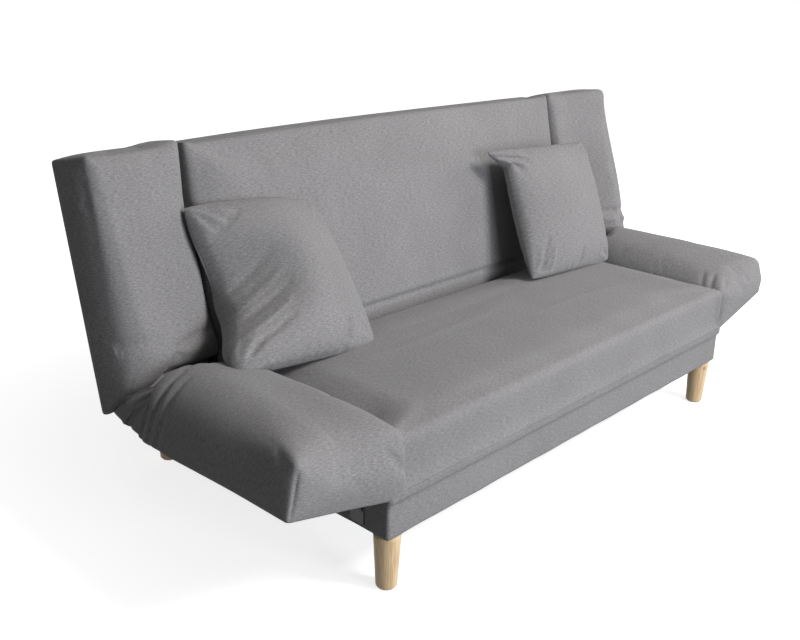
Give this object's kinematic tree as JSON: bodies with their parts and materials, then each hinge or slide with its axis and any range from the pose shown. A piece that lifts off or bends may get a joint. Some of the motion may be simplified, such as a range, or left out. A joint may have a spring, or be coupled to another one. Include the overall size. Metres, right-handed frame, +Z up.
{
  "type": "futon sofa bed",
  "caption": "Futon sofa bed: padded seat on a fabric-skirted base with tapered wooden legs, reclining back, folding arms and wings, and loose scatter pillows.",
  "frame": {"origin": "middle of the footprint on the floor, in the sofa position", "axes": "+X along the seat to the sitter's left, -Y to the front, +Z up"},
  "size_m": [1.8082, 0.812, 0.7972],
  "materials": {
    "upholstery": "woven grey melange",
    "foam": "open-cell polyurethane foam",
    "dust_cloth": "spun-bonded non-woven",
    "leg_wood": "clear satin lacquer",
    "frame_wood": "bare sawn pine and plywood",
    "hinge_steel": "black powder coat",
    "fastener_steel": "zinc plated",
    "glide_plastic": "moulded nylon",
    "rubber": "moulded"
  },
  "bodies": {
    "base": {"front_rail": "frame_wood", "rear_rail": "frame_wood", "left_side_rail": "frame_wood", "right_side_rail": "frame_wood", "cross_rails": "frame_wood", "corner_blocks": "frame_wood", "rear_deck": "frame_wood", "skirt_cover": "upholstery", "dust_cover": "dust_cloth", "front_left_leg": "leg_wood", "front_right_leg": "leg_wood", "rear_left_leg": "leg_wood", "rear_right_leg": "leg_wood", "leg_plates": "hinge_steel", "leg_bolts": "fastener_steel", "leg_plate_screws": "fastener_steel", "leg_glides": "glide_plastic", "seat_deck": "frame_wood", "seat_foam": "foam", "seat_cover": "upholstery", "recline_base_plates": "hinge_steel", "arm_hinge_brackets": "hinge_steel", "base_hinge_screws": "fastener_steel", "back_bumpers": "rubber", "left_corner_gusset": "upholstery", "right_corner_gusset": "upholstery"},
    "backrest": {"back_stiles": "frame_wood", "back_rails": "frame_wood", "back_panel": "frame_wood", "back_foam": "foam", "back_cover": "upholstery", "recline_back_plates": "hinge_steel", "recline_pins": "fastener_steel", "wing_hinge_brackets": "hinge_steel", "back_hinge_screws": "fastener_steel"},
    "left_arm": {"left_arm_board": "frame_wood", "left_arm_foam": "foam", "left_arm_cover": "upholstery", "left_arm_hinge_clevises": "hinge_steel", "left_arm_hinge_pins": "fastener_steel"},
    "left_wing": {"left_wing_board": "frame_wood", "left_wing_foam": "foam", "left_wing_cover": "upholstery", "left_wing_hinge_clevises": "hinge_steel", "left_wing_hinge_pins": "fastener_steel"},
    "left_pillow": {"left_pillow_filling": "foam", "left_pillow_cover": "upholstery"},
    "right_arm": {"right_arm_board": "frame_wood", "right_arm_foam": "foam", "right_arm_cover": "upholstery", "right_arm_hinge_clevises": "hinge_steel", "right_arm_hinge_pins": "fastener_steel"},
    "right_wing": {"right_wing_board": "frame_wood", "right_wing_foam": "foam", "right_wing_cover": "upholstery", "right_wing_hinge_clevises": "hinge_steel", "right_wing_hinge_pins": "fastener_steel"},
    "right_pillow": {"right_pillow_filling": "foam", "right_pillow_cover": "upholstery"}
  },
  "joints": [
    {"name": "back_recline", "type": "hinge", "parent": "base", "child": "backrest", "pos_m": [0, 0.13975, 0.304], "axis": [-1, 0, 0], "range_deg": [0, 77.65], "deforming": ["left_corner_gusset", "right_corner_gusset"]},
    {"name": "left_arm_fold", "type": "hinge", "parent": "base", "child": "left_arm", "pos_m": [-0.695, 0, 0.304], "axis": [0, 1, 0], "range_deg": [-13.3, 31.7], "deforming": ["left_corner_gusset"]},
    {"name": "left_wing_fold", "type": "hinge", "parent": "backrest", "child": "left_wing", "pos_m": [-0.695, 0.13975, 0.304], "axis": [0, 0.2139, 0.9769], "range_deg": [-6.5, 15.4]},
    {"name": "right_arm_fold", "type": "hinge", "parent": "base", "child": "right_arm", "pos_m": [0.695, 0, 0.304], "axis": [0, -1, 0], "range_deg": [-13.3, 31.7], "deforming": ["right_corner_gusset"]},
    {"name": "right_wing_fold", "type": "hinge", "parent": "backrest", "child": "right_wing", "pos_m": [0.695, 0.13975, 0.304], "axis": [0, -0.2139, -0.9769], "range_deg": [-6.5, 15.4]},
    {"name": "left_pillow_lift", "type": "slide", "parent": "backrest", "child": "left_pillow", "axis": [0, -0.6269, 0.7791], "range_m": [0, 0.35]},
    {"name": "right_pillow_lift", "type": "slide", "parent": "backrest", "child": "right_pillow", "axis": [0, -0.6269, 0.7791], "range_m": [0, 0.35]}
  ],
  "couplings": [
    {"joint": "left_wing_fold", "follows": "left_arm_fold", "ratio": 0.4812},
    {"joint": "right_wing_fold", "follows": "right_arm_fold", "ratio": 0.4812}
  ]
}
